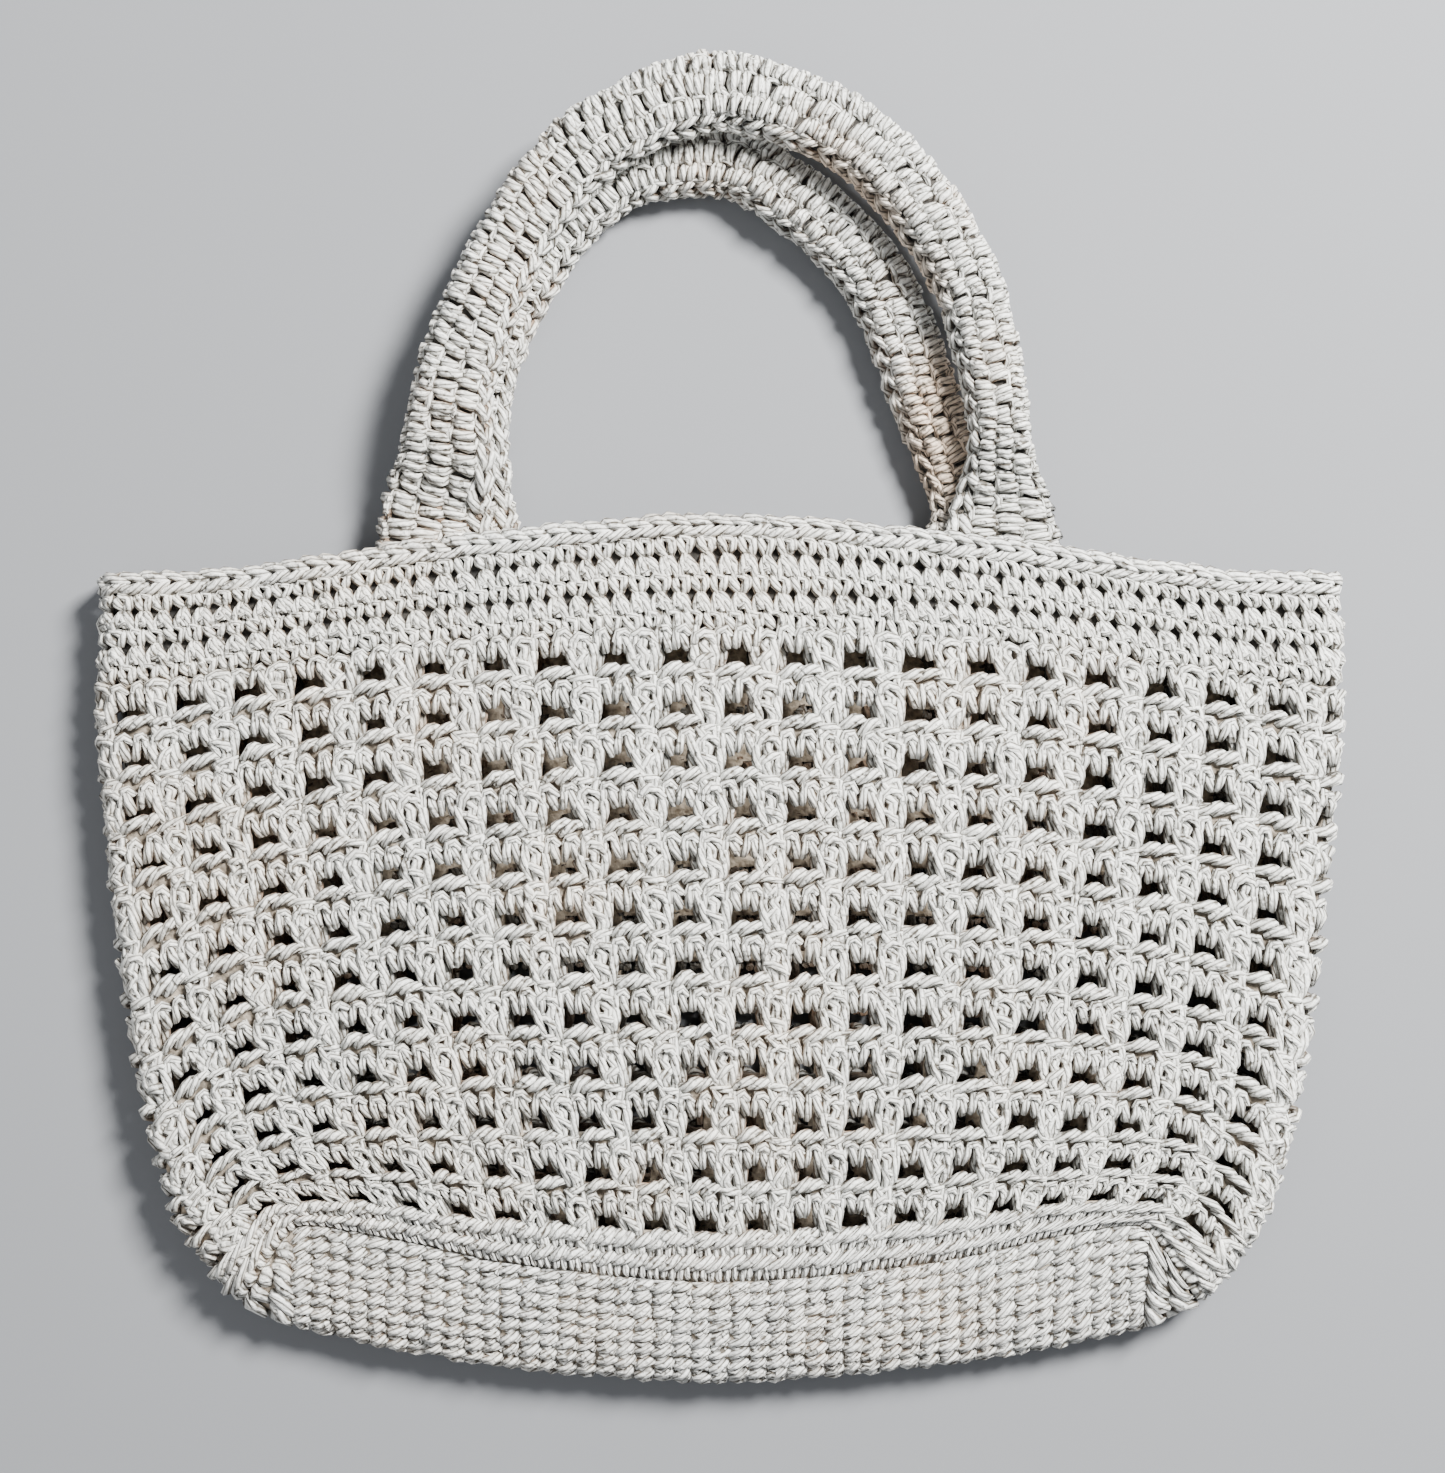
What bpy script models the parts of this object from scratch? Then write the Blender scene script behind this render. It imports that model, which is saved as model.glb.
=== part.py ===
# Crocheted tote bag, lying flat on its back, in metres.
# +Z is the outward side of the front wall, +Y runs to the handles, +X to the right of the front.
import math

import bmesh
import bpy
from mathutils import Vector

# Overall sizes
BAG_WIDTH = 0.360
BODY_RISE = 0.250
HANDLE_RISE = 0.1305
WALL = 0.005
SIDE_DEPTH = 0.013
MID_DEPTH = 0.021
CLEAR = 0.0004
RIM_HEIGHT = 0.0057
RIDGE = 0.0012

# The open net: columns of gaps on each wall, rows of gaps, and the share of a cell that is open
GAP_COLUMNS = 10
GAP_ROWS = 6
GAP_WIDE = 0.50
GAP_TALL = 0.36
EDGE_ROW, NET_ROW, BAND_ROW, RIM_ROW = -1, 0, 12, 14

# Handles: a rolled tube that flares to a flat end sewn inside the wall
TUBE_WIDE = 0.020
TUBE_THICK = 0.012
END_THICK = 0.0042
HANDLE_STATIONS = 26
HANDLE_SIDES = 12
BACK_END_Z = WALL + CLEAR + END_THICK / 2
FRONT_END_Z = 0.0124
BACK_TUBE_Z = TUBE_THICK / 2
FRONT_TUBE_Z = 1.5 * TUBE_THICK + CLEAR

FOLD_STEPS = 6
FOLD_RADIUS = SIDE_DEPTH / 2
BACK_Z = WALL / 2
MID_Z = BACK_Z + FOLD_RADIUS
LOW_Y = -(BODY_RISE + HANDLE_RISE) / 2

# Rows round the bag. row counts the rows of the real net up from its start, width is a share of
# BAG_WIDTH and puff a share of MID_DEPTH minus SIDE_DEPTH. The other columns are heights over
# the bottom fold, as shares of BODY_RISE, at that many hundredths of the row's half width.
AT = (0.0, 0.40, 0.75, 0.86, 1.0)
ROWS = (
    dict(name="base_edge", row=-1, width=0.776, puff=0.25, at0=0.128, at40=0.146, at75=0.183, at86=0.191, at100=0.100),
    dict(name="net_start", row=0, width=0.816, puff=0.40, at0=0.181, at40=0.192, at75=0.216, at86=0.214, at100=0.134),
    dict(name="low_net", row=1.7, width=0.875, puff=0.70, at0=0.277, at40=0.280, at75=0.279, at86=0.266, at100=0.192),
    dict(name="mid_net", row=4.6, width=0.934, puff=1.00, at0=0.444, at40=0.441, at75=0.420, at86=0.398, at100=0.346),
    dict(name="high_net", row=8.3, width=0.977, puff=1.00, at0=0.654, at40=0.646, at75=0.622, at86=0.608, at100=0.582),
    dict(name="net_end", row=12, width=1.000, puff=0.75, at0=0.864, at40=0.852, at75=0.823, at86=0.811, at100=0.800),
    dict(name="band_end", row=14, width=0.996, puff=0.50, at0=0.976, at40=0.953, at75=0.919, at86=0.912, at100=0.910),
)
# The bottom fold: height over its lowest point, as shares of BODY_RISE
FOLD_AT = (0.0, 0.35, 0.65, 0.90, 1.0)
FOLD_LIFT = (0.000, 0.012, 0.035, 0.066, 0.088)

# Handle paths. across is a share of BAG_WIDTH from the middle, up a share of HANDLE_RISE over
# the top of the rim, wide a share of TUBE_WIDE, and roll runs from 0, flat end, to 1, tube.
FRONT_PATH = (
    dict(name="left_end", across=-0.230, up=-0.150, wide=1.68, roll=0.0),
    dict(name="left_neck", across=-0.226, up=0.000, wide=1.60, roll=0.0),
    dict(name="left_flare", across=-0.218, up=0.110, wide=1.38, roll=0.45),
    dict(name="left_leg", across=-0.209, up=0.290, wide=1.12, roll=1.0),
    dict(name="left_side", across=-0.182, up=0.490, wide=1.05, roll=1.0),
    dict(name="left_shoulder", across=-0.147, up=0.665, wide=1.05, roll=1.0),
    dict(name="left_crown", across=-0.088, up=0.830, wide=1.08, roll=1.0),
    dict(name="crown", across=-0.002, up=0.9165, wide=1.09, roll=1.0),
    dict(name="right_crown", across=0.091, up=0.840, wide=1.05, roll=1.0),
    dict(name="right_shoulder", across=0.174, up=0.608, wide=0.98, roll=1.0),
    dict(name="right_side", across=0.203, up=0.430, wide=0.92, roll=1.0),
    dict(name="right_leg", across=0.219, up=0.210, wide=0.84, roll=1.0),
    dict(name="right_flare", across=0.222, up=0.110, wide=0.98, roll=0.5),
    dict(name="right_neck", across=0.224, up=0.000, wide=1.55, roll=0.0),
    dict(name="right_end", across=0.226, up=-0.150, wide=1.95, roll=0.0),
)
BACK_PATH = (
    dict(name="left_end", across=-0.206, up=-0.150, wide=1.62, roll=0.0),
    dict(name="left_neck", across=-0.203, up=0.000, wide=1.45, roll=0.0),
    dict(name="left_flare", across=-0.201, up=0.110, wide=1.15, roll=0.5),
    dict(name="left_leg", across=-0.196, up=0.260, wide=1.00, roll=1.0),
    dict(name="left_side", across=-0.158, up=0.530, wide=0.98, roll=1.0),
    dict(name="left_shoulder", across=-0.112, up=0.690, wide=0.98, roll=1.0),
    dict(name="left_crown", across=-0.067, up=0.772, wide=0.98, roll=1.0),
    dict(name="crown", across=-0.003, up=0.790, wide=0.98, roll=1.0),
    dict(name="right_crown", across=0.060, up=0.705, wide=0.98, roll=1.0),
    dict(name="right_shoulder", across=0.130, up=0.500, wide=0.98, roll=1.0),
    dict(name="right_leg", across=0.166, up=0.250, wide=0.95, roll=1.0),
    dict(name="right_flare", across=0.188, up=0.110, wide=1.00, roll=0.5),
    dict(name="right_neck", across=0.204, up=0.000, wide=1.30, roll=0.0),
    dict(name="right_end", across=0.208, up=-0.150, wide=1.60, roll=0.0),
)


def smooth_at(knots, values, x, flat_start=False):
    """A cubic through the values at the knots, level at the first one where asked."""
    x = min(max(x, knots[0]), knots[-1])
    i = 0
    while i < len(knots) - 2 and x > knots[i + 1]:
        i += 1

    def slope(k):
        if k == 0:
            return 0.0 if flat_start else (values[1] - values[0]) / (knots[1] - knots[0])
        if k == len(knots) - 1:
            return (values[k] - values[k - 1]) / (knots[k] - knots[k - 1])
        before = (values[k] - values[k - 1]) / (knots[k] - knots[k - 1])
        after = (values[k + 1] - values[k]) / (knots[k + 1] - knots[k])
        return 2 * before * after / (before + after) if before * after > 0 else 0.0

    span = knots[i + 1] - knots[i]
    t = (x - knots[i]) / span
    a, b = values[i], values[i + 1]
    return (
        a * (2 * t**3 - 3 * t**2 + 1)
        + b * (3 * t**2 - 2 * t**3)
        + slope(i) * span * (t**3 - 2 * t**2 + t)
        + slope(i + 1) * span * (t**3 - t**2)
    )


def row_at(v, column):
    return smooth_at([row["row"] for row in ROWS], [row[column] for row in ROWS], v)


def row_height(v, share):
    """Height of row v over the bottom fold where it crosses that share of its half width."""
    heights = [row_at(v, f"at{round(100 * s)}") for s in AT]
    return BODY_RISE * smooth_at(AT, heights, share, flat_start=True)


def wall_point(u, v):
    """Middle of the wall, and its outward direction. u counts front, right fold, back, left fold."""
    half = row_at(v, "width") * BAG_WIDTH / 2 - WALL / 2
    straight = half - FOLD_RADIUS
    puff = row_at(v, "puff") * (MID_DEPTH - SIDE_DEPTH)
    side, t = int(u) % 4, u % 1
    if side == 0:
        along = 2 * t - 1
        x = along * straight
        z = BACK_Z + SIDE_DEPTH + puff * (1 - along * along) ** 1.5
        steep = -3 * puff * along * math.sqrt(max(0.0, 1 - along * along)) / straight
        out = Vector((-steep, 0, 1)).normalized()
    elif side == 2:
        x, z, out = (1 - 2 * t) * straight, BACK_Z, Vector((0, 0, -1))
    else:
        turn = math.pi * (0.5 - t)
        sign = 1 if side == 1 else -1
        out = Vector((math.cos(turn), 0, math.sin(turn))) * sign
        x = sign * (straight + FOLD_RADIUS * math.cos(turn))
        z = MID_Z + FOLD_RADIUS * math.sin(turn) * sign
    y = LOW_Y + row_height(v, min(1.0, abs(x) / half))
    return Vector((x, y, z)), out


def fold_height(x):
    """Height of the bottom fold where the base is crossed at x."""
    half = ROWS[0]["width"] * BAG_WIDTH / 2 - WALL / 2
    return LOW_Y + WALL / 2 + BODY_RISE * smooth_at(FOLD_AT, FOLD_LIFT, abs(x) / half, flat_start=True)


def base_point(u, b):
    """b runs from 1, the front edge of the base, over 0, its fold, to -1, the back edge."""
    front, out = wall_point(u, EDGE_ROW)
    if u in (0, 1):
        edge, out = wall_point(1 + (1 - b) / 2 if u == 1 else 3 + (1 + b) / 2, EDGE_ROW)
        return edge - Vector((0, 3 * CLEAR, 0)), out
    turn = b * math.pi / 2
    top = front.y - CLEAR / 2
    y = top + (fold_height(front.x) - top) * math.cos(turn) ** 1.15
    depth = front.z - MID_Z if b > 0 else FOLD_RADIUS
    z = MID_Z + depth * math.copysign(abs(math.sin(turn)) ** 0.75, turn)
    across = Vector((out.x * max(0.0, math.sin(turn)), -math.cos(turn), math.sin(turn)))
    return Vector((front.x, y, z)), across.normalized()


def shell(name, grid, around, gap=None, thick=WALL):
    """A closed wall about a grid of (point, outward) rows, with the cells of gap left open."""
    mesh = bmesh.new()
    faces = [
        [[mesh.verts.new(p + out * side * thick / 2) for p, out in row] for row in grid]
        for side in (1, -1)
    ]
    rows, columns = len(grid), len(grid[0])
    spans = columns if around else columns - 1

    def filled(i, j):
        if not 0 <= i < rows - 1:
            return False
        if not around and not 0 <= j < spans:
            return False
        return gap is None or not gap(i, j % spans)

    for i in range(rows - 1):
        for j in range(spans):
            if not filled(i, j):
                continue
            k = (j + 1) % columns
            outer, inner = faces
            mesh.faces.new((outer[i][j], outer[i][k], outer[i + 1][k], outer[i + 1][j]))
            mesh.faces.new((inner[i][j], inner[i + 1][j], inner[i + 1][k], inner[i][k]))
            for met, row in ((filled(i - 1, j), i), (filled(i + 1, j), i + 1)):
                if not met:
                    mesh.faces.new((outer[row][j], inner[row][j], inner[row][k]))
                    mesh.faces.new((outer[row][j], inner[row][k], outer[row][k]))
            for met, column in ((filled(i, j - 1), j), (filled(i, j + 1), k)):
                if not met:
                    ends = (outer[i][column], outer[i + 1][column])
                    mesh.faces.new(ends + (inner[i + 1][column], inner[i][column]))
    return finish(name, mesh)


def finish(name, mesh):
    bmesh.ops.recalc_face_normals(mesh, faces=mesh.faces)
    for face in mesh.faces:
        face.smooth = True
    data = bpy.data.meshes.new(name)
    mesh.to_mesh(data)
    mesh.free()
    piece = bpy.data.objects.new(name, data)
    bpy.context.scene.collection.objects.link(piece)
    material = bpy.data.materials.new(f"{name}_cord")
    material.use_nodes = True
    surface = material.node_tree.nodes["Principled BSDF"]
    surface.inputs["Base Color"].default_value = (0.62, 0.60, 0.55, 1)
    surface.inputs["Roughness"].default_value = 0.9
    data.materials.append(material)
    return piece


def ring_stations():
    """(u, opens) round the wall, where opens says that a gap lies past the station."""
    wall = [(0.0, False)]
    for cell in range(GAP_COLUMNS):
        for share, opens in ((0.5 - GAP_WIDE / 2, True), (0.5, True), (0.5 + GAP_WIDE / 2, False)):
            wall.append(((cell + share) / GAP_COLUMNS, opens))
    fold = [(step / FOLD_STEPS, False) for step in range(FOLD_STEPS)]
    return [(side + t, opens) for side in range(4) for t, opens in (wall if side % 2 == 0 else fold)]


def wall_rows(heights, lower, upper, stations, ridges=None):
    """Grid rows at each v, drawn in by half a clearance at the lower and the upper edge."""
    grid = []
    for v in heights:
        shift = CLEAR / 2 if v == lower else -CLEAR / 2 if v == upper else 0
        lift = ridges.get(v, 0) if ridges else 0
        row = []
        for u, opens in stations:
            point, out = wall_point(u, v)
            raised = 0 if out.z < 0 else out.z * lift
            row.append((point + Vector((0, shift, 0)) + out * raised, out))
        grid.append(row)
    return grid


def build_net(stations):
    rows = [NET_ROW]
    opens = [False]
    for cell in range(GAP_ROWS):
        for share, gap_past in ((0.5 - GAP_TALL / 2, True), (0.5 + GAP_TALL / 2, False)):
            rows.append(NET_ROW + (BAND_ROW - NET_ROW) * (cell + share) / GAP_ROWS)
            opens.append(gap_past)
    rows.append(BAND_ROW)
    grid = wall_rows(rows, NET_ROW, BAND_ROW, stations)
    return shell("net_body", grid, True, lambda i, j: opens[i] and stations[j][1])


def build_base(stations):
    lines = [u for u, opens in stations if u <= 1]
    across = [1 - step / FOLD_STEPS for step in range(2 * FOLD_STEPS + 1)]
    return shell("base_panel", [[base_point(u, b) for u in lines] for b in across], False)


def build_rim(stations):
    """A round braid on the top edge of the band."""
    mesh = bmesh.new()
    rings = []
    for u, opens in stations:
        point, out = wall_point(u, RIM_ROW)
        middle = point + Vector((0, RIM_HEIGHT / 2 + CLEAR / 2, 0))
        rings.append(
            [
                mesh.verts.new(
                    middle
                    + Vector((0, math.sin(turn) * (RIM_HEIGHT - CLEAR) / 2, 0))
                    + out * math.cos(turn) * WALL / 2
                )
                for turn in (math.pi * k / 3 for k in range(6))
            ]
        )
    for i, ring in enumerate(rings):
        after = rings[(i + 1) % len(rings)]
        for k in range(6):
            n = (k + 1) % 6
            mesh.faces.new((ring[k], ring[n], after[n], after[k]))
    return finish("rim_chain", mesh)


def build_handle(name, path, end_z, tube_z):
    rim_top = LOW_Y + BODY_RISE
    knots = list(range(len(path)))
    columns = {key: [station[key] for station in path] for key in ("across", "up", "wide", "roll")}

    def at(key, t):
        return smooth_at(knots, columns[key], t)

    def centre(t):
        roll = at("roll", t)
        x, y = at("across", t) * BAG_WIDTH, rim_top + at("up", t) * HANDLE_RISE
        return Vector((x, y, end_z + (tube_z - end_z) * roll))

    mesh = bmesh.new()
    rings = []
    for station in range(HANDLE_STATIONS + 1):
        t = knots[-1] * station / HANDLE_STATIONS
        along = centre(min(t + 0.05, knots[-1])) - centre(max(t - 0.05, 0))
        if station in (0, HANDLE_STATIONS):
            along.x = 0
        across = Vector((along.y, -along.x, 0)).normalized()
        wide = at("wide", t) * TUBE_WIDE
        thick = END_THICK + (TUBE_THICK - END_THICK) * at("roll", t)
        ring = []
        for k in range(HANDLE_SIDES):
            turn = 2 * math.pi * (k + 0.5) / HANDLE_SIDES
            c, s = math.cos(turn), math.sin(turn)
            ring.append(
                mesh.verts.new(
                    centre(t)
                    + across * math.copysign(abs(c) ** 0.7, c) * wide / 2 / math.cos(math.pi / 12) ** 0.7
                    + Vector((0, 0, math.copysign(min(1.0, abs(s) / 0.7), s) * thick / 2))
                )
            )
        rings.append(ring)
    for ring, after in zip(rings, rings[1:]):
        for k in range(HANDLE_SIDES):
            n = (k + 1) % HANDLE_SIDES
            mesh.faces.new((ring[k], ring[n], after[n], after[k]))
    mesh.faces.new(rings[0])
    mesh.faces.new(list(reversed(rings[-1])))
    return finish(name, mesh)


def rest_on_origin(pieces):
    """Moves all pieces together so that the bag's box stands on the origin."""
    points = [vertex.co for piece in pieces for vertex in piece.data.vertices]
    low = [min(p[k] for p in points) for k in range(3)]
    high = [max(p[k] for p in points) for k in range(3)]
    shift = Vector((-(low[0] + high[0]) / 2, -(low[1] + high[1]) / 2, -low[2]))
    for piece in pieces:
        for vertex in piece.data.vertices:
            vertex.co += shift


def main():
    for obj in list(bpy.data.objects):
        bpy.data.objects.remove(obj)
    stations = ring_stations()
    ridges = {-0.85: RIDGE, -0.30: RIDGE}
    border = wall_rows([EDGE_ROW, -0.85, -0.58, -0.30, NET_ROW], EDGE_ROW, NET_ROW, stations, ridges)
    band = wall_rows([BAND_ROW, 12.7, 13.3, RIM_ROW], BAND_ROW, RIM_ROW, stations)
    pieces = [
        build_base(stations),
        shell("base_border", border, True),
        build_net(stations),
        shell("top_band", band, True),
        build_rim(stations),
        build_handle("front_handle", FRONT_PATH, FRONT_END_Z, FRONT_TUBE_Z),
        build_handle("back_handle", BACK_PATH, BACK_END_Z, BACK_TUBE_Z),
    ]
    rest_on_origin(pieces)


main()
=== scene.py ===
import math

import bmesh
import bpy
import numpy as np
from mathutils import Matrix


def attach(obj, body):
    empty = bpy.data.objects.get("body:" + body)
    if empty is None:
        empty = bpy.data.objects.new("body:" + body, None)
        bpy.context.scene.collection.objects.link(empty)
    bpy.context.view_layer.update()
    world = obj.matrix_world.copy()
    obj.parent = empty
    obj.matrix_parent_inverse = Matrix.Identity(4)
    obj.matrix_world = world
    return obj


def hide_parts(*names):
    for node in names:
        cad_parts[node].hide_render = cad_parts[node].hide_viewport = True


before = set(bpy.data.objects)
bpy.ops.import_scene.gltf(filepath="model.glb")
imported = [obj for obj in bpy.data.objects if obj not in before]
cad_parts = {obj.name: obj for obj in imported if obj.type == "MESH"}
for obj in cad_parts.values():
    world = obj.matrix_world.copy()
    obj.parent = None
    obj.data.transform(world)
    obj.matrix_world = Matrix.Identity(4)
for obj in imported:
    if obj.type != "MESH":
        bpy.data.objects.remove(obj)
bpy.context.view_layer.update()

MM = 0.001

# The bag's own sizes, the same as its solids have
BAG_WIDTH, BODY_RISE, HANDLE_RISE = 0.360, 0.250, 0.1305
WALL, SIDE_DEPTH, MID_DEPTH, CLEAR = 0.005, 0.013, 0.021, 0.0004
RIM_HEIGHT = 0.0057
TUBE_WIDE, TUBE_THICK, END_THICK = 0.020, 0.012, 0.0042
FOLD_RADIUS = SIDE_DEPTH / 2
BACK_Z = WALL / 2
MID_Z = BACK_Z + FOLD_RADIUS
LOW_Y = -(BODY_RISE + HANDLE_RISE) / 2
EDGE_ROW, NET_ROW, BAND_ROW, RIM_ROW = -1, 0, 12, 14

# Cells of the net round the bag, on each wall and on each side fold, and stitches in a cell
CELLS, WALL_CELLS, FOLD_CELLS, STITCHES = 42, 19.83, 1.17, 3
STITCH = 5.73
CELL_WIDE, ROW_TALL = 17.2, 14.6

AT = (0.0, 0.40, 0.75, 0.86, 1.0)
ROWS = np.array([
    # row, width, puff, at0, at40, at75, at86, at100
    (-1.0, 0.776, 0.25, 0.128, 0.146, 0.183, 0.191, 0.100),
    (0.0, 0.816, 0.40, 0.181, 0.192, 0.216, 0.214, 0.134),
    (1.7, 0.875, 0.70, 0.277, 0.280, 0.279, 0.266, 0.192),
    (4.6, 0.934, 1.00, 0.444, 0.441, 0.420, 0.398, 0.346),
    (8.3, 0.977, 1.00, 0.654, 0.646, 0.622, 0.608, 0.582),
    (12.0, 1.000, 0.75, 0.864, 0.852, 0.823, 0.811, 0.800),
    (14.0, 0.996, 0.50, 0.976, 0.953, 0.919, 0.912, 0.910),
])
FOLD_AT = (0.0, 0.35, 0.65, 0.90, 1.0)
FOLD_LIFT = (0.000, 0.012, 0.035, 0.066, 0.088)

# Handle stations: across, up, wide and roll, as in the solids
FRONT_PATH = np.array([
    (-0.230, -0.150, 1.68, 0.0), (-0.226, 0.000, 1.60, 0.0), (-0.218, 0.110, 1.38, 0.45),
    (-0.209, 0.290, 1.12, 1.0), (-0.182, 0.490, 1.05, 1.0), (-0.147, 0.665, 1.05, 1.0),
    (-0.088, 0.830, 1.08, 1.0), (-0.002, 0.9165, 1.09, 1.0), (0.091, 0.840, 1.05, 1.0),
    (0.174, 0.608, 0.98, 1.0), (0.203, 0.430, 0.92, 1.0), (0.219, 0.210, 0.84, 1.0),
    (0.222, 0.110, 0.98, 0.5), (0.224, 0.000, 1.55, 0.0), (0.226, -0.150, 1.95, 0.0),
])
BACK_PATH = np.array([
    (-0.206, -0.150, 1.62, 0.0), (-0.203, 0.000, 1.45, 0.0), (-0.201, 0.110, 1.15, 0.5),
    (-0.196, 0.260, 1.00, 1.0), (-0.158, 0.530, 0.98, 1.0), (-0.112, 0.690, 0.98, 1.0),
    (-0.067, 0.772, 0.98, 1.0), (-0.003, 0.790, 0.98, 1.0), (0.060, 0.705, 0.98, 1.0),
    (0.130, 0.500, 0.98, 1.0), (0.166, 0.250, 0.95, 1.0), (0.188, 0.110, 1.00, 0.5),
    (0.204, 0.000, 1.30, 0.0), (0.208, -0.150, 1.60, 0.0),
])


def smooth_at(knots, values, x, flat_start=False):
    """A cubic through the values at the knots, for an array x. values may hold arrays like x."""
    knots = np.asarray(knots, float)
    values = [np.broadcast_to(np.asarray(value, float), np.shape(x)) for value in values]
    x = np.clip(x, knots[0], knots[-1])
    rise = [(values[k + 1] - values[k]) / (knots[k + 1] - knots[k]) for k in range(len(knots) - 1)]
    slopes = [rise[0] * 0 if flat_start else rise[0]]
    for before, after in zip(rise, rise[1:]):
        both = before * after
        safe = np.where(both > 0, before + after, 1.0)
        slopes.append(np.where(both > 0, 2 * both / safe, 0.0))
    slopes.append(rise[-1])
    out = np.zeros(np.shape(x))
    for k in range(len(knots) - 1):
        span = knots[k + 1] - knots[k]
        inside = (x >= knots[k]) & ((x < knots[k + 1]) | (k == len(knots) - 2))
        t = (x - knots[k]) / span
        piece = (
            values[k] * (2 * t**3 - 3 * t**2 + 1)
            + values[k + 1] * (3 * t**2 - 2 * t**3)
            + slopes[k] * span * (t**3 - 2 * t**2 + t)
            + slopes[k + 1] * span * (t**3 - t**2)
        )
        out = np.where(inside, piece, out)
    return out


def row_at(v, column):
    return smooth_at(ROWS[:, 0], ROWS[:, column], v)


def wall_at(u, v):
    """Middle of the wall: u counts front, right fold, back, left fold, and v the rows of the net."""
    u, v = np.mod(u, 4.0), np.asarray(v, float)
    half = row_at(v, 1) * BAG_WIDTH / 2 - WALL / 2
    straight = half - FOLD_RADIUS
    puff = row_at(v, 2) * (MID_DEPTH - SIDE_DEPTH)
    side, t = np.floor(u), u - np.floor(u)
    along = 2 * t - 1
    turn = math.pi * (0.5 - t)
    sign = np.where(side == 1, 1.0, -1.0)
    x = np.where(side == 0, along * straight, -along * straight)
    x = np.where(side % 2 == 1, sign * (straight + FOLD_RADIUS * np.cos(turn)), x)
    domed = BACK_Z + SIDE_DEPTH + puff * np.clip(1 - along * along, 0, 1) ** 1.5
    z = np.where(side == 0, domed, BACK_Z)
    z = np.where(side % 2 == 1, MID_Z + FOLD_RADIUS * np.sin(turn) * sign, z)
    heights = [row_at(v, 3 + k) for k in range(5)]
    y = LOW_Y + BODY_RISE * smooth_at(AT, heights, np.minimum(1.0, np.abs(x) / half), True)
    return np.stack([x, y, z], -1)


def ring_at(cell, v):
    """The wall where cell counts net columns from the left end of the front."""
    cell = np.mod(cell, CELLS)
    front, right = cell / WALL_CELLS, 1 + (cell - WALL_CELLS) / FOLD_CELLS
    back = 2 + (cell - WALL_CELLS - FOLD_CELLS) / WALL_CELLS
    left = 3 + (cell - 2 * WALL_CELLS - FOLD_CELLS) / FOLD_CELLS
    u = np.where(front < 1, front, np.where(right < 2, right, np.where(back < 3, back, left)))
    return wall_at(u, v)


def base_line(share, b):
    """A line across the base where share, -1 to 1, runs along it and b from front edge to back."""
    front = wall_at((share + 1) / 2, np.full(np.shape(share), -1.0))
    half = ROWS[0, 1] * BAG_WIDTH / 2 - WALL / 2
    low = LOW_Y + WALL / 2 + BODY_RISE * smooth_at(FOLD_AT, FOLD_LIFT, np.abs(front[..., 0]) / half, True)
    turn = np.clip(b, -1, 1) * math.pi / 2
    top = front[..., 1]
    y = top + (low - top) * np.maximum(np.cos(turn), 0) ** 1.15
    depth = np.where(b > 0, front[..., 2] - MID_Z, FOLD_RADIUS)
    z = MID_Z + depth * np.sign(turn) * np.abs(np.sin(turn)) ** 0.75
    return np.stack([front[..., 0], y, z], -1)


BASE_END = 0.95


def base_at(share, b):
    """The folded base, whose last stretch closes on the edge of the wall's side fold."""
    inner = base_line(np.clip(share, -BASE_END, BASE_END), b)
    edge = wall_at(np.where(share > 0, 1 + (1 - b) / 2, 3 + (1 + b) / 2 - 1e-9), np.full(np.shape(share), -1.0))
    mix = np.clip((np.abs(share) - BASE_END) / (1 - BASE_END), 0, 1)[..., None]
    return inner * (1 - mix) + edge * mix


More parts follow.
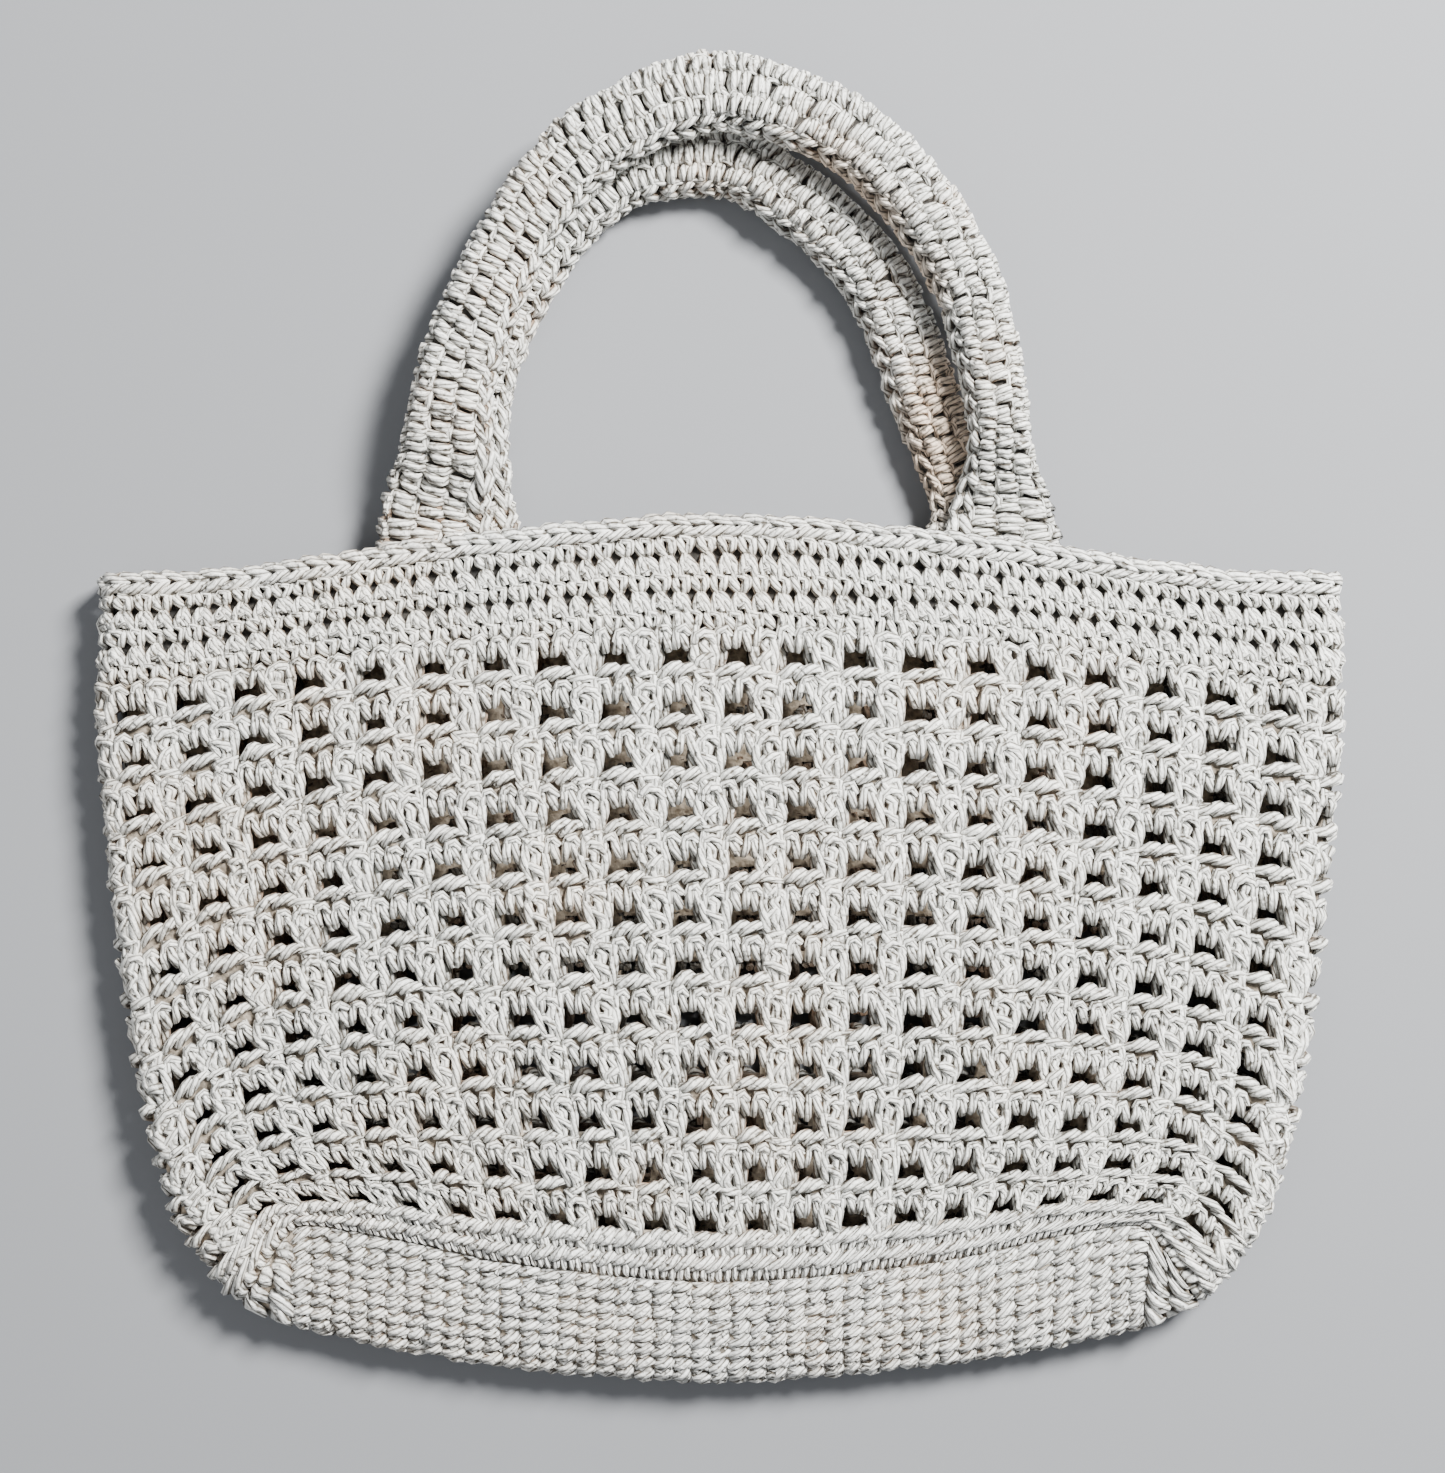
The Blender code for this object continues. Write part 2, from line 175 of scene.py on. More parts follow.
def handle_surface(path, end_z, tube_z):
    """A function of metres along the handle and share round it, from its outer edge over its top."""
    knots = np.arange(len(path), dtype=float)
    rim_top = LOW_Y + BODY_RISE

    def centre(t):
        across, up, wide, roll = (smooth_at(knots, path[:, k], t) for k in range(4))
        z = end_z + (tube_z - end_z) * roll
        return np.stack([across * BAG_WIDTH, rim_top + up * HANDLE_RISE, z], -1)

    steps = np.linspace(0, knots[-1], 600)
    line = centre(steps)
    length = np.concatenate([[0], np.cumsum(np.linalg.norm(np.diff(line, axis=0), axis=1))])
    ways = np.gradient(line[:, :2], steps, axis=0)
    for _ in range(3):
        ways[1:-1] = (ways[:-2] + ways[1:-1] + ways[2:]) / 3
    ways[0], ways[-1] = (0, 1), (0, -1)

    def at(along, share):
        t = np.interp(along, length, steps)
        wide = smooth_at(knots, path[:, 2], t) * TUBE_WIDE
        thick = END_THICK + (TUBE_THICK - END_THICK) * smooth_at(knots, path[:, 3], t)
        way = np.stack([np.interp(t, steps, ways[:, k]) for k in (0, 1)], -1)
        way /= np.linalg.norm(way, axis=-1, keepdims=True)
        flat, arc = wide - thick, math.pi * thick / 2
        place = np.mod(share, 1.0) * 2 * (flat + arc)
        # From the middle of the outer edge: quarter turn, top, half turn, underside, quarter turn
        turn = np.where(
            place < arc / 2, place / arc * math.pi,
            np.where(place < arc / 2 + flat, math.pi / 2,
                     np.where(place < 1.5 * arc + flat, (place - flat) / arc * math.pi,
                              np.where(place < 1.5 * arc + 2 * flat, 1.5 * math.pi,
                                       (place - 2 * flat) / arc * math.pi))))
        slide = np.where(
            place < arc / 2, flat / 2,
            np.where(place < arc / 2 + flat, flat / 2 - (place - arc / 2),
                     np.where(place < 1.5 * arc + flat, -flat / 2,
                              np.where(place < 1.5 * arc + 2 * flat, -flat / 2 + (place - 1.5 * arc - flat),
                                       flat / 2))))
        out = slide + thick / 2 * np.cos(turn)
        point = np.stack([np.interp(t, steps, line[:, k]) for k in range(3)], -1)
        point[..., 0] += -way[..., 1] * out
        point[..., 1] += way[..., 0] * out
        point[..., 2] += thick / 2 * np.sin(turn)
        return point

    return at, length[-1]


def charted(surface, a_span, b_span, counts, closed_a=False, closed_b=False):
    """The same surface read from an even chart of its points, which is quicker for many stitches."""
    a, b = (np.linspace(span[0], span[1], count + 1) for span, count in zip((a_span, b_span), counts))
    grid = surface(*np.meshgrid(a, b, indexing="ij"))

    def at(x, y):
        found = []
        for place, span, count, closed in ((x, a_span, counts[0], closed_a), (y, b_span, counts[1], closed_b)):
            place = (np.asarray(place, float) - span[0]) / (span[1] - span[0]) * count
            place = np.mod(place, count) if closed else np.clip(place, 0, count - 1e-6)
            cell = np.minimum(place.astype(int), count - 1)
            found.append((cell, (place - cell)[..., None]))
        (i, s), (j, t) = found
        low = grid[i, j] * (1 - s) + grid[i + 1, j] * s
        high = grid[i, j + 1] * (1 - s) + grid[i + 1, j + 1] * s
        return low * (1 - t) + high * t

    return at


def placed(surface, a, b, lift, step_a, step_b):
    """Points lifted off a surface along its normal, which the steps in a and b measure."""
    here = surface(a, b)
    along = surface(a + step_a, b) - surface(a - step_a, b)
    up = surface(a, b + step_b) - surface(a, b - step_b)
    normal = np.cross(along, up)
    size = np.linalg.norm(normal, axis=-1, keepdims=True)
    return here + normal / np.maximum(size, 1e-12) * lift[..., None]


# Strands of one stitch or cell: thickness, then points of along, up and out, in millimetres.
# In the net's cell a post stands at along 0, the hole is centred on along 8.6 and up 0.
NET_POST = (
    (3.3, (-2.6, 5.8, 0.0), (-3.2, 3.2, 1.1), (-3.0, 0.4, 1.5), (-2.5, -2.2, 1.2), (-1.8, -4.6, -0.2)),
    (3.3, (2.8, 5.6, 0.0), (3.4, 2.8, 1.0), (3.1, 0.0, 1.4), (2.6, -2.4, 1.1), (1.6, -4.8, -0.3)),
    (3.7, (-0.9, 5.4, 0.3), (0.7, 3.3, 1.3), (-0.5, 0.8, 1.1), (0.6, -1.8, 1.2), (-0.1, -5.0, 0.0)),
    (3.0, (-3.3, 3.8, 0.7), (-2.1, 6.2, 1.7), (-0.1, 7.0, 2.0), (2.1, 6.0, 1.7), (3.2, 3.8, 0.8)),
    (2.8, (-2.9, 1.4, 0.9), (-0.9, 0.9, 2.1), (1.3, -0.6, 2.1), (2.7, -2.4, 0.7)),
    (3.2, (-2.5, -5.6, 0.4), (-1.6, -7.6, 1.5), (-0.4, -9.6, 0.6)),
    (3.2, (2.4, -5.4, 0.4), (1.9, -7.4, 1.4), (1.2, -9.4, 0.5)),
    (2.8, (-3.6, -6.0, -0.2), (-1.6, -5.2, 1.1), (0.8, -4.8, 1.5), (3.8, -4.8, -0.2)),
    (3.0, (-4.2, 4.6, -1.5), (-4.9, 0.8, -1.3), (-4.0, -3.8, -1.5)),
)
NET_LEAF = (
    (3.2, (3.6, -5.3, 0.0), (5.5, -4.3, 1.8), (7.6, -3.2, 2.2), (9.3, -2.8, 1.4), (10.4, -3.4, 0.0)),
    (3.2, (8.1, -5.5, 0.0), (10.0, -4.4, 1.8), (12.1, -3.3, 2.2), (13.8, -2.9, 1.3), (15.0, -3.6, 0.0)),
    (2.6, (2.4, -4.5, -1.0), (8.6, -4.3, -1.1), (14.8, -4.5, -1.0)),
)
NET_TEETH = (
    (2.9, (3.2, -11.5, -1.0), (3.1, -11.9, 0.7), (3.7, -9.4, 1.5), (4.3, -6.3, 0.5)),
    (2.9, (6.6, -11.7, -1.0), (6.7, -12.2, 0.8), (6.2, -9.6, 1.6), (5.6, -6.4, 0.6)),
    (2.9, (8.8, -11.6, -1.0), (8.7, -12.1, 0.8), (9.3, -9.6, 1.6), (10.0, -6.4, 0.6)),
    (2.9, (12.1, -11.8, -1.0), (12.2, -12.2, 0.8), (11.8, -9.6, 1.6), (11.3, -6.4, 0.6)),
    (2.9, (14.4, -11.5, -1.0), (14.3, -11.9, 0.7), (14.8, -9.4, 1.5), (15.3, -6.3, 0.5)),
    (2.6, (3.4, -8.8, 0.6), (4.4, -6.8, 1.8), (6.0, -6.5, 2.0), (7.4, -8.6, 0.8)),
    (2.6, (9.0, -8.8, 0.6), (10.2, -6.8, 1.8), (11.8, -6.6, 2.0), (13.2, -8.6, 0.8)),
)
BAND_FAN = (
    (3.0, (2.4, 6.9, -0.8), (1.8, 4.6, 0.9), (1.1, 2.0, 1.5), (0.7, -1.5, 0.5)),
    (3.0, (2.9, 6.8, -0.8), (3.7, 4.6, 1.2), (4.6, 2.2, 1.6), (5.2, -1.1, 0.4)),
    (3.0, (2.3, 5.4, 0.6), (2.7, 3.0, 1.8), (3.3, 0.2, 0.9)),
    (2.5, (0.9, 2.6, 0.4), (2.3, 1.2, 1.8), (4.5, 2.4, 1.2)),
)
BAND_LEGS = (
    (3.0, (0.9, 6.0, -0.5), (0.8, 4.2, 0.9), (1.3, 2.2, 1.2), (2.1, 0.5, -0.4)),
    (3.0, (4.5, 6.0, -0.5), (4.5, 4.2, 0.9), (4.0, 2.2, 1.2), (3.3, 0.5, -0.4)),
    (2.8, (0.8, 3.6, -0.2), (1.9, 6.2, 0.8), (3.5, 5.2, 1.0), (4.6, 3.5, -0.1)),
)
RIM_LINK = (
    (3.1, (-1.4, 4.0, -0.5), (0.8, 5.0, 1.1), (3.4, 4.4, 1.6), (5.6, 3.4, 1.7), (7.6, 2.8, 0.3)),
    (3.0, (-1.2, 1.2, -0.5), (0.8, 0.4, 0.9), (3.4, 1.0, 1.4), (5.6, 2.1, 1.5), (7.4, 2.7, 0.3)),
    (2.8, (-0.8, 2.8, -1.2), (2.6, 3.2, -0.8), (6.4, 2.8, -1.2)),
)
RIDGE_LINK = (
    (3.1, (-2.0, -1.5, -0.6), (0.4, -1.0, 1.3), (3.2, 0.3, 2.0), (5.8, 1.4, 1.2), (7.4, 1.5, -0.6)),
)
BORDER_LEGS = (
    (2.9, (0.8, -0.4, -0.6), (1.0, 1.5, 0.9), (1.5, 3.4, 0.8), (2.0, 5.2, -0.6)),
    (2.9, (3.8, -0.4, -0.6), (3.8, 1.5, 0.9), (4.2, 3.4, 0.8), (4.8, 5.2, -0.6)),
)
BASE_BRICK = (
    (3.0, (-0.2, 0.8, -1.3), (1.0, 1.1, 0.7), (2.9, 1.8, 1.1), (4.7, 2.5, 0.7), (5.9, 2.8, -1.3)),
    (2.3, (0.2, 3.1, -0.9), (2.4, 3.2, 0.8), (5.4, 4.4, -0.7)),
    (1.9, (3.8, 0.2, -0.6), (5.0, 0.9, 0.8), (5.9, 1.9, -0.6)),
)
STRAP_BARS = (
    (3.2, (1.0, -0.3, -1.2), (1.0, 1.4, 1.2), (1.7, 3.8, 1.4), (2.6, 6.0, -0.9)),
    (3.2, (4.2, -0.3, -1.2), (3.9, 1.4, 1.2), (4.3, 3.8, 1.4), (4.9, 6.0, -0.9)),
    (2.3, (0.2, -0.3, -1.0), (1.7, 0.7, 0.4), (3.9, 0.3, 0.5), (5.8, -0.6, -0.9)),
)
STRAP_VEE = (
    (3.0, (-1.2, 3.0, -0.9), (0.9, 2.3, 1.0), (3.2, 1.0, 1.3), (5.8, 0.0, -0.7)),
    (3.0, (-1.2, 3.2, -0.9), (0.9, 4.0, 1.0), (3.2, 5.2, 1.3), (5.8, 6.2, -0.7)),
)


def mirrored(strands):
    return [(thickness, *((-x, y, z) for x, y, z in line)) for thickness, *line in strands]


def strand_set(strands):
    """The strands as bevelled curves made mesh: points, corners, face starts, UVs, strand numbers, places along each
    strand and painted shade on each strand's sides.
    """
    points, corners, starts, uvs, owner, bends, side_shades = [], [], [], [], [], [], []
    for number, (thickness, *line) in enumerate(strands):
        path, count = np.array(line), len(line)
        curve = bpy.data.curves.new("strand", "CURVE")
        curve.dimensions = "3D"
        curve.bevel_depth = thickness / 2
        curve.bevel_resolution = 1
        curve.use_fill_caps = True
        spline = curve.splines.new("POLY")
        spline.points.add(count - 1)
        for k, place in enumerate(path):
            spline.points[k].co = (*place, 1)
            spline.points[k].radius = 0.84 + 0.16 * math.sin(math.pi * k / (count - 1))
        holder = bpy.data.objects.new("strand", curve)
        mesh = bpy.data.meshes.new_from_object(holder)
        length = float(np.linalg.norm(np.diff(path, axis=0), axis=1).sum())
        co = np.zeros(len(mesh.vertices) * 3)
        mesh.vertices.foreach_get("co", co)
        corner = np.zeros(len(mesh.loops), int)
        mesh.loops.foreach_get("vertex_index", corner)
        start = np.zeros(len(mesh.polygons), int)
        mesh.polygons.foreach_get("loop_start", start)
        uv = np.zeros(len(mesh.loops) * 2)
        mesh.uv_layers[0].data.foreach_get("uv", uv)
        uv = uv.reshape(-1, 2)
        uv = np.stack([uv[:, 1], uv[:, 0] * length], 1)
        corners.append(corner + sum(len(p) for p in points))
        starts.append(start + sum(len(c) for c in corners[:-1]))
        points.append(co.reshape(-1, 3))
        uvs.append(uv)
        owner.append(np.full(len(mesh.vertices), number))
        near = ((co.reshape(-1, 1, 3) - path[None]) ** 2).sum(-1).argmin(1)
        bends.append(2 * near / (count - 1) - 1)
        # Painted shade round each strand: the lower a point sits on its strand's side, the darker its colour.
        raised = (co[2::3] - path[near, 2]) / thickness * 2
        side_shades.append(np.clip((0.72 - raised) / 0.95, 0, 1))
        bpy.data.objects.remove(holder)
        bpy.data.curves.remove(curve)
        bpy.data.meshes.remove(mesh)
    return [np.concatenate(part) for part in (points, corners, starts, uvs, owner, bends, side_shades)]


def wander(a, b, seed):
    """Slow uneven pull of the work, in shares of a millimetre, at a and b millimetres along it."""
    rng = np.random.default_rng(seed)
    total = 0
    for reach in (34.0, 21.0, 12.0, 7.5):
        way = rng.uniform(0, 2 * math.pi)
        phase = rng.uniform(0, 2 * math.pi)
        total = total + np.sin((a * math.cos(way) + b * math.sin(way)) * 2 * math.pi / reach + phase)
    return total / 4


class Work:
    """Strands gathered for one piece, joined as one mesh at the end."""

    def __init__(self, seed):
        self.rng = np.random.default_rng(seed)
        self.seed = seed
        self.parts = []
        self.count = 0
        self.corner_count = 0

    def add(self, strands, lefts, lows, surface, unit_a, unit_b, shift=-0.9, jitter=0.25, inner=1.0):
        """Copies a stitch to each (left, low), in millimetres along and up the surface."""
        co, corner, start, uv, owner, bend, side = strands
        # inner is how much painted shade the strands' inner sides get: 1 fully, less for lighter.
        side = np.where(side >= 1, inner, side)
        n, m = len(lefts), len(co)
        lefts, lows = np.asarray(lefts, float)[:, None], np.asarray(lows, float)[:, None]
        along = co[None, :, 0]
        up = co[None, :, 1]
        push = self.rng.normal(0, jitter, (3, n, owner.max() + 1))[:, :, owner]
        push = push + self.rng.normal(0, jitter, (3, n, owner.max() + 1))[:, :, owner] * bend
        a = lefts + along + push[0] * 0.8
        b = lows + up + push[1] * 0.8
        d = co[None, :, 2] * np.ones((n, 1)) + shift + push[2] * 0.7
        a = a + 0.75 * wander(a, b, self.seed + 1)
        b = b + 0.75 * wander(a, b, self.seed + 2)
        d = d + 0.45 * wander(a, b, self.seed + 3)
        points = placed(surface, a * unit_a, b * unit_b, d * MM, 0.5 * abs(unit_a), 0.5 * unit_b)
        tone = self.rng.uniform(0, 1, (n, owner.max() + 1))[:, owner]
        corners = (corner[None] + (np.arange(n) * m)[:, None]).reshape(-1)
        starts = (start[None] + (np.arange(n) * len(corner))[:, None]).reshape(-1)
        turn = self.rng.uniform(0, 1, (n, 1))
        uvs = np.stack([uv[None, :, 0] + np.zeros((n, 1)), uv[None, :, 1] + turn * 20], -1)
        # Painted shade per point: darker the deeper it sits in the wall, and on the shaded sides of its strand.
        painted_shade = 1 - (1 - np.clip((1.1 - co[:, 2]) / 2.4, 0, 1) ** 1.3) * (1 - 0.9 * side)
        self.parts.append(
            (points.reshape(-1, 3), corners + self.count, starts + self.corner_count, uvs.reshape(-1, 2),
             tone.reshape(-1), np.tile(painted_shade, n))
        )
        self.count += n * m
        self.corner_count += n * len(corner)

    def finish(self, name, material, node):
        points, corners, starts, uvs, tone, painted_shade = (
            np.concatenate([part[k] for part in self.parts]) for k in range(6)
        )
        low = points[:, 2] < MM
        points[low, 2] = MM * np.exp(points[low, 2] / MM - 1)
        mesh = bpy.data.meshes.new(name)
        mesh.vertices.add(len(points))
        mesh.vertices.foreach_set("co", points.reshape(-1))
        mesh.loops.add(len(corners))
        mesh.loops.foreach_set("vertex_index", corners.astype(np.int32))
        mesh.polygons.add(len(starts))
        mesh.polygons.foreach_set("loop_start", starts.astype(np.int32))
        layer = mesh.uv_layers.new(name="strand")
        layer.data.foreach_set("uv", uvs.reshape(-1))
        for label, values in (("tone", tone), ("painted_shade", painted_shade)):
            attribute = mesh.attributes.new(label, "FLOAT", "POINT")
            attribute.data.foreach_set("value", values.astype(np.float32))
        mesh.update(calc_edges=True)
        mesh.polygons.foreach_set("use_smooth", np.ones(len(mesh.polygons), bool))
        piece = bpy.data.objects.new(name, mesh)
        bpy.context.scene.collection.objects.link(piece)
        wear(piece, material, node)
        return piece


def wear(piece, material, node):
    """Gives a piece its finish, its body and the solid that it stands for."""
    piece.data.materials.append(material)
    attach(piece, "root")
    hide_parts(node)


def core_sheet(name, surface, a_range, b_range, segments, lift, material, node, opens=None, closed=False):
    """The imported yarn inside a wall: a thin sheet on the surface, open where opens says so."""
    work = bmesh.new()
    bmesh.ops.create_grid(work, x_segments=segments[0], y_segments=segments[1], size=1)
    shares = np.array([vertex.co[:2] for vertex in work.verts]) / 2 + 0.5
    if opens is not None:
        gone = []
        for face in work.faces:
            middle = face.calc_center_median()
            if opens(
                a_range[0] + (middle.x / 2 + 0.5) * (a_range[1] - a_range[0]),
                b_range[0] + (middle.y / 2 + 0.5) * (b_range[1] - b_range[0]),
            ):
                gone.append(face)
    a = a_range[0] + shares[:, 0] * (a_range[1] - a_range[0])
    b = b_range[0] + shares[:, 1] * (b_range[1] - b_range[0])
    eps_a, eps_b = (a_range[1] - a_range[0]) * 1e-3, (b_range[1] - b_range[0]) * 1e-3
    found = placed(surface, a, np.clip(b, b_range[0] + eps_b, b_range[1] - eps_b), np.full(len(a), lift), eps_a, eps_b)
    for vertex, place in zip(work.verts, found):
        vertex.co = place
    if opens is not None:
        bmesh.ops.delete(work, geom=gone, context="FACES")
    if closed:
        bmesh.ops.remove_doubles(work, verts=work.verts, dist=1e-5)
    for face in work.faces:
        face.smooth = True
    mesh = bpy.data.meshes.new(name)
    work.to_mesh(mesh)
    work.free()
    piece = bpy.data.objects.new(name, mesh)
    bpy.context.scene.collection.objects.link(piece)
    thick = piece.modifiers.new("thickness", "SOLIDIFY")
    thick.thickness = 0.0012
    thick.offset = 0
    wear(piece, material, node)
    return piece


def grain_group():
    """Twisted cord: plies winding round each strand, with fibres, drift of colour and painted shade in the ply
    grooves, pinched creases and hollows.
    """
    group = bpy.data.node_groups.new("twisted_cord", "ShaderNodeTree")
    for name, kind, value in (
        ("Light", "NodeSocketColor", (0.70, 0.69, 0.65, 1)),
        ("Shade", "NodeSocketColor", (0.42, 0.38, 0.32, 1)),
        ("Warm", "NodeSocketColor", (0.66, 0.58, 0.50, 1)),
    ):
        socket = group.interface.new_socket(name, in_out="INPUT", socket_type=kind)
        socket.default_value = value
    # Spots of painted warm shade, where a handle's inner side turns away from the light.
    group.interface.new_socket("ShadeSpots", in_out="INPUT", socket_type="NodeSocketFloat").default_value = 0.0
    group.interface.new_socket("Color", in_out="OUTPUT", socket_type="NodeSocketColor")
    group.interface.new_socket("Height", in_out="OUTPUT", socket_type="NodeSocketFloat")
    nodes, links = group.nodes, group.links
    given, made = nodes.new("NodeGroupInput"), nodes.new("NodeGroupOutput")

    def math_node(operation, a, b=0.0, c=0.0, clamp=False):
        node = nodes.new("ShaderNodeMath")
        node.operation, node.use_clamp = operation, clamp
        for socket, value in zip(node.inputs, (a, b, c)):
            if isinstance(value, (int, float)):
                socket.default_value = value
            else:
                links.new(value, socket)
        return node.outputs[0]

    def blend(kind, factor, a, b):
        node = nodes.new("ShaderNodeMix")
        node.data_type, node.blend_type = "RGBA", kind
        for socket, value in ((node.inputs[0], factor), (node.inputs[6], a), (node.inputs[7], b)):
            if isinstance(value, (int, float, tuple)):
                socket.default_value = value
            else:
                links.new(value, socket)
        return node.outputs[2]

    strand = nodes.new("ShaderNodeUVMap")
    strand.uv_map = "strand"
    split = nodes.new("ShaderNodeSeparateXYZ")
    links.new(strand.outputs[0], split.inputs[0])
    turns = math_node("ADD", math_node("MULTIPLY", split.outputs[0], 5.0), math_node("MULTIPLY", split.outputs[1], 0.22))
    ply = math_node("ABSOLUTE", math_node("SINE", math_node("MULTIPLY", turns, math.pi)))
    fibre_place = nodes.new("ShaderNodeCombineXYZ")
    links.new(math_node("MULTIPLY", turns, 1.5), fibre_place.inputs[0])
    links.new(math_node("MULTIPLY", split.outputs[1], 0.35), fibre_place.inputs[1])
    fibre = nodes.new("ShaderNodeTexNoise")
    fibre.inputs["Scale"].default_value = 2.4
    fibre.inputs["Detail"].default_value = 3.0
    links.new(fibre_place.outputs[0], fibre.inputs["Vector"])
    height = math_node("ADD", math_node("MULTIPLY", ply, 0.65), math_node("MULTIPLY", fibre.outputs[0], 0.9))
    # Painted shade in the grooves between the plies.
    groove_shade = math_node("MULTIPLY_ADD", ply, -1.3, 1.0, True)
    thread = math_node("MULTIPLY_ADD", fibre.outputs[0], 3.0, -0.75, True)
    tone, painted_shade = nodes.new("ShaderNodeAttribute"), nodes.new("ShaderNodeAttribute")
    tone.attribute_name, painted_shade.attribute_name = "tone", "painted_shade"
    place = nodes.new("ShaderNodeTexCoord")
    pinch = nodes.new("ShaderNodeTexNoise")
    pinch.inputs["Scale"].default_value = 430.0
    pinch.inputs["Detail"].default_value = 1.5
    links.new(place.outputs["Object"], pinch.inputs["Vector"])
    # Pinched creases: they sink the bump and, further down, darken the colour as painted shade.
    crease = math_node("MULTIPLY_ADD", pinch.outputs[0], 7.0, -4.0, True)
    height = math_node("MULTIPLY_ADD", crease, -0.8, height)
    cloud = nodes.new("ShaderNodeTexNoise")
    cloud.inputs["Scale"].default_value = 32.0
    cloud.inputs["Detail"].default_value = 2.0
    links.new(place.outputs["Object"], cloud.inputs["Vector"])
    across = nodes.new("ShaderNodeSeparateXYZ")
    links.new(place.outputs["Object"], across.inputs[0])
    # Warm tint towards the left and in cloud patches, laid mostly into the painted shade and only lightly on lit tops.
    leftward = math_node("MULTIPLY_ADD", across.outputs[0], -2.2, 0.18)
    warmth = math_node("ADD", leftward, math_node("MULTIPLY_ADD", cloud.outputs[0], 3.4, -1.75), clamp=True)
    warmth = math_node("MULTIPLY", warmth, math_node("MULTIPLY_ADD", painted_shade.outputs["Fac"], 1.1, 0.22))
    # Spots of painted warm shade on the handles' inner sides.
    warmth = math_node("ADD", warmth, given.outputs["ShadeSpots"], clamp=True)
    # Share of painted shade: the ply grooves, deep points and shaded strand sides, and pinched creases.
    shade_share = math_node("MULTIPLY_ADD", groove_shade, 0.9, math_node("MULTIPLY", painted_shade.outputs["Fac"], 0.95))
    shade_share = math_node("MULTIPLY_ADD", crease, 0.62, shade_share)
    body = blend("MIX", math_node("MULTIPLY", warmth, 0.95), given.outputs["Light"], given.outputs["Warm"])
    # Painted warm shade: towards the left and in cloud patches the deepest shade turns brown rather than near black.
    brown_shade = math_node("ADD", leftward, math_node("MULTIPLY_ADD", cloud.outputs[0], 5.0, -2.35), clamp=True)
    brown_shade = math_node("MULTIPLY", brown_shade, math_node("MULTIPLY_ADD", painted_shade.outputs["Fac"], 2.4, -1.0, clamp=True))
    deep = blend("MIX", brown_shade, given.outputs["Shade"], (0.27, 0.18, 0.12, 1))
    body = blend("MIX", math_node("MULTIPLY", shade_share, 1.0, clamp=True), body, deep)
    bright = math_node("MULTIPLY_ADD", tone.outputs["Fac"], 0.22, 0.85)
    bright = math_node("MULTIPLY", bright, math_node("MULTIPLY_ADD", thread, 0.60, 0.46))
    grey = nodes.new("ShaderNodeCombineColor")
    for socket in grey.inputs:
        links.new(bright, socket)
    links.new(blend("MULTIPLY", 1.0, body, grey.outputs[0]), made.inputs["Color"])
    links.new(height, made.inputs["Height"])
    return group


GRAIN = grain_group()


def cord_material(name, light, shade, warm, shade_spots=()):
    material = bpy.data.materials.new(name)
    material.use_nodes = True
    nodes, links = material.node_tree.nodes, material.node_tree.links
    surface = nodes["Principled BSDF"]
    surface.inputs["Roughness"].default_value = 0.88
    surface.inputs["Sheen Weight"].default_value = 0.06
    surface.inputs["Sheen Roughness"].default_value = 0.5
    surface.inputs["Specular IOR Level"].default_value = 0.3
    grain = nodes.new("ShaderNodeGroup")
    grain.node_tree = GRAIN
    for key, value in (("Light", light), ("Shade", shade), ("Warm", warm)):
        grain.inputs[key].default_value = (*value, 1)
    total = None
    # Each spot of painted warm shade fades out from its centre, in the handle's own coordinates.
    for centre, reach in shade_spots:
        place, mapping = nodes.new("ShaderNodeTexCoord"), nodes.new("ShaderNodeMapping")
        mapping.vector_type = "TEXTURE"
        mapping.inputs["Location"].default_value = centre
        mapping.inputs["Scale"].default_value = (reach, reach, reach)
        spot, add = nodes.new("ShaderNodeTexGradient"), nodes.new("ShaderNodeMath")
        spot.gradient_type = "SPHERICAL"
        add.operation = "MULTIPLY_ADD"
        add.inputs[1].default_value = 1.6
        links.new(place.outputs["Object"], mapping.inputs[0])
        links.new(mapping.outputs[0], spot.inputs[0])
        links.new(spot.outputs["Fac"], add.inputs[0])
        if total is None:
            add.inputs[2].default_value = 0.0
        else:
            links.new(total, add.inputs[2])
        total = add.outputs[0]
    if total is not None:
        links.new(total, grain.inputs["ShadeSpots"])
    bump = nodes.new("ShaderNodeBump")
    bump.inputs["Strength"].default_value = 0.8
    bump.inputs["Distance"].default_value = 0.0006
    links.new(grain.outputs["Color"], surface.inputs["Base Color"])
    links.new(grain.outputs["Height"], bump.inputs["Height"])
    links.new(bump.outputs[0], surface.inputs["Normal"])
    return material


